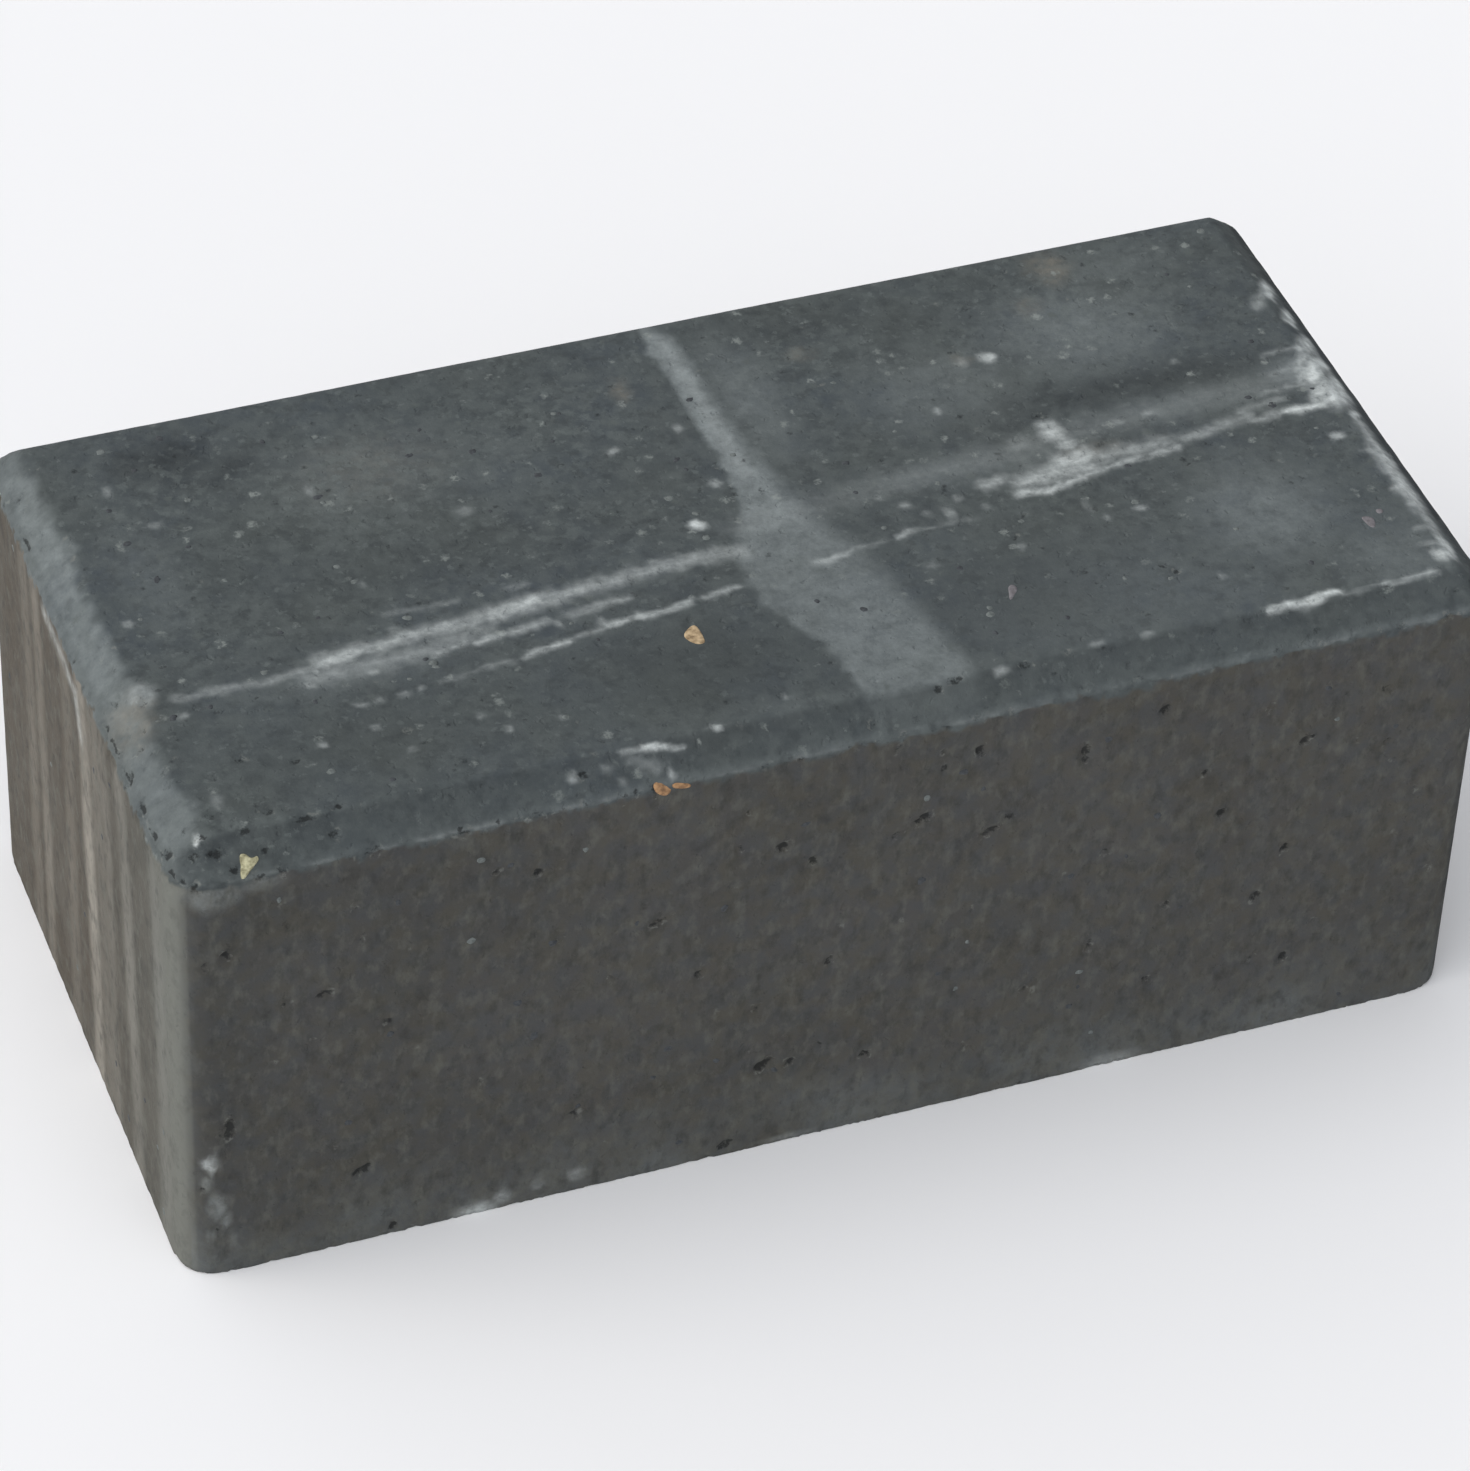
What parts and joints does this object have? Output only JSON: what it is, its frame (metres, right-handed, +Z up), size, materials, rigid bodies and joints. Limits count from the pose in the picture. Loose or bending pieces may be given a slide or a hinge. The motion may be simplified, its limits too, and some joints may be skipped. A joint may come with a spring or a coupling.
{
  "type": "concrete wall block",
  "caption": "Solid rectangular concrete wall block with a chamfer round its top face and rounded upright corners.",
  "frame": {"origin": "middle of the bed, the flat face that the block rests on", "axes": "+X along the length, -Y out of the front face, +Z up from the bed to the chamfered top face"},
  "size_m": [0.3, 0.15, 0.12],
  "materials": {
    "concrete": "matte"
  },
  "bodies": {
    "root": {"block": "concrete"}
  },
  "joints": []
}
